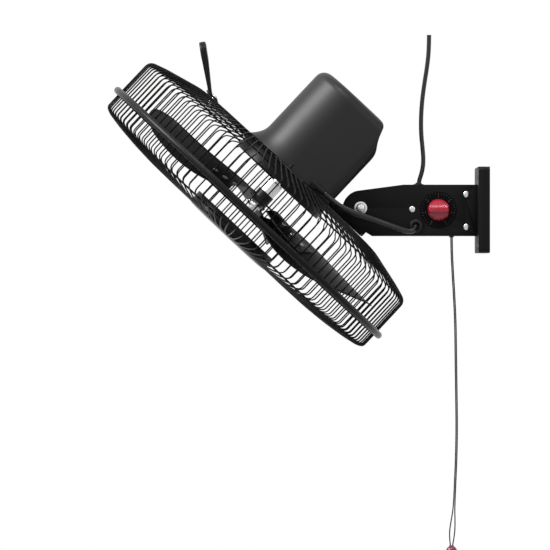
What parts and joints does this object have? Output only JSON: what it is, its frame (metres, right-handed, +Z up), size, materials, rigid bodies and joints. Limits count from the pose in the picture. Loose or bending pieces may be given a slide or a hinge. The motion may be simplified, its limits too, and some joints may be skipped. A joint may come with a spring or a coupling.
{
  "type": "wall mounted fan",
  "caption": "Wall mounted fan on a sheet metal arm, with a tilting head, wire guards, speed knob and pull cord",
  "frame": {"origin": "centre of the wall plate's rear face, on the wall", "axes": "+X into the wall, +Z up, the speed dial faces -Y; the fan reaches out along -X"},
  "size_m": [0.5339, 0.51, 0.731],
  "materials": {
    "black_paint": "satin black powder coat",
    "arm_paint": "satin black powder coat on sheet steel",
    "blade_paint": "semi-gloss black on pressed steel",
    "spider_zinc": "zinc plated pressed steel",
    "zinc": "bright zinc",
    "shaft_steel": "ground steel",
    "core_steel": "laminated steel",
    "winding_copper": "varnished copper wire",
    "die_cast": "as-cast aluminium",
    "black_plastic": "moulded black",
    "cap_plastic": "semi-gloss black",
    "switch_plastic": "cream moulding",
    "knob_red": "translucent-looking red moulding",
    "ball_red": "dark red bead",
    "cable_rubber": "black PVC jacket",
    "strand": "black braided cord",
    "nylon": "natural nylon"
  },
  "bodies": {
    "bracket": {"wall_plate": "arm_paint", "arm_flange": "arm_paint", "arm_shell": "arm_paint", "arm_bottom_cover": "arm_paint", "arm_spacers": "zinc", "side_screws": "zinc", "dial_plate": "black_plastic", "speed_regulator": "switch_plastic", "pull_switch": "switch_plastic", "cord_guide": "black_plastic", "mains_cord": "cable_rubber", "mains_grommet": "black_plastic", "motor_lead": "cable_rubber", "lead_grommet": "black_plastic", "terminal_block": "nylon", "hinge_bolt": "zinc", "hinge_washers": "zinc", "hinge_nut": "zinc", "friction_washers": "nylon"},
    "knob": {"regulator_shaft": "zinc", "speed_knob": "knob_red"},
    "pull": {"pull_plunger": "nylon", "pull_cord_left": "strand", "pull_cord_right": "strand", "pull_ball": "ball_red"},
    "head": {"neck": "black_paint", "neck_cap": "black_plastic", "neck_screws": "zinc", "motor_cover": "black_paint", "front_shield": "die_cast", "rear_shield": "die_cast", "front_bearing": "shaft_steel", "rear_bearing": "shaft_steel", "stator_core": "core_steel", "windings": "winding_copper", "motor_bolts": "zinc", "run_capacitor": "black_plastic", "lead_bush": "black_plastic", "rear_guard": "black_paint", "rear_rings": "black_paint", "front_guard": "black_paint", "front_ring": "black_paint", "clamp_ring": "black_paint", "guard_cap": "cap_plastic", "guard_screws": "zinc", "handle": "black_paint", "handle_grip": "black_plastic", "handle_clamps": "zinc", "handle_screws": "zinc"},
    "rotor": {"motor_shaft": "shaft_steel", "rotor_core": "core_steel", "blade_1": "blade_paint", "blade_2": "blade_paint", "blade_3": "blade_paint", "blade_spider": "spider_zinc", "rivets": "zinc", "hub_nut": "zinc"}
  },
  "joints": [
    {"name": "tilt", "type": "hinge", "parent": "bracket", "child": "head", "pos_m": [-0.1788, 0, 0.0028], "axis": [0, 1, 0], "range_deg": [-15, 22], "deforming": ["motor_lead"]},
    {"name": "blade_spin", "type": "hinge", "parent": "head", "child": "rotor", "pos_m": [-0.33594, 0, -0.00355], "axis": [-0.6845, 0, -0.729], "continuous": true},
    {"name": "knob_turn", "type": "hinge", "parent": "bracket", "child": "knob", "pos_m": [-0.0704, -0.027, 0], "axis": [0, 1, 0], "range_deg": [0, 270]},
    {"name": "pull_switch_travel", "type": "slide", "parent": "bracket", "child": "pull", "axis": [0, 0, -1], "range_m": [0, 0.009], "stiffness_N_per_m": 300}
  ]
}
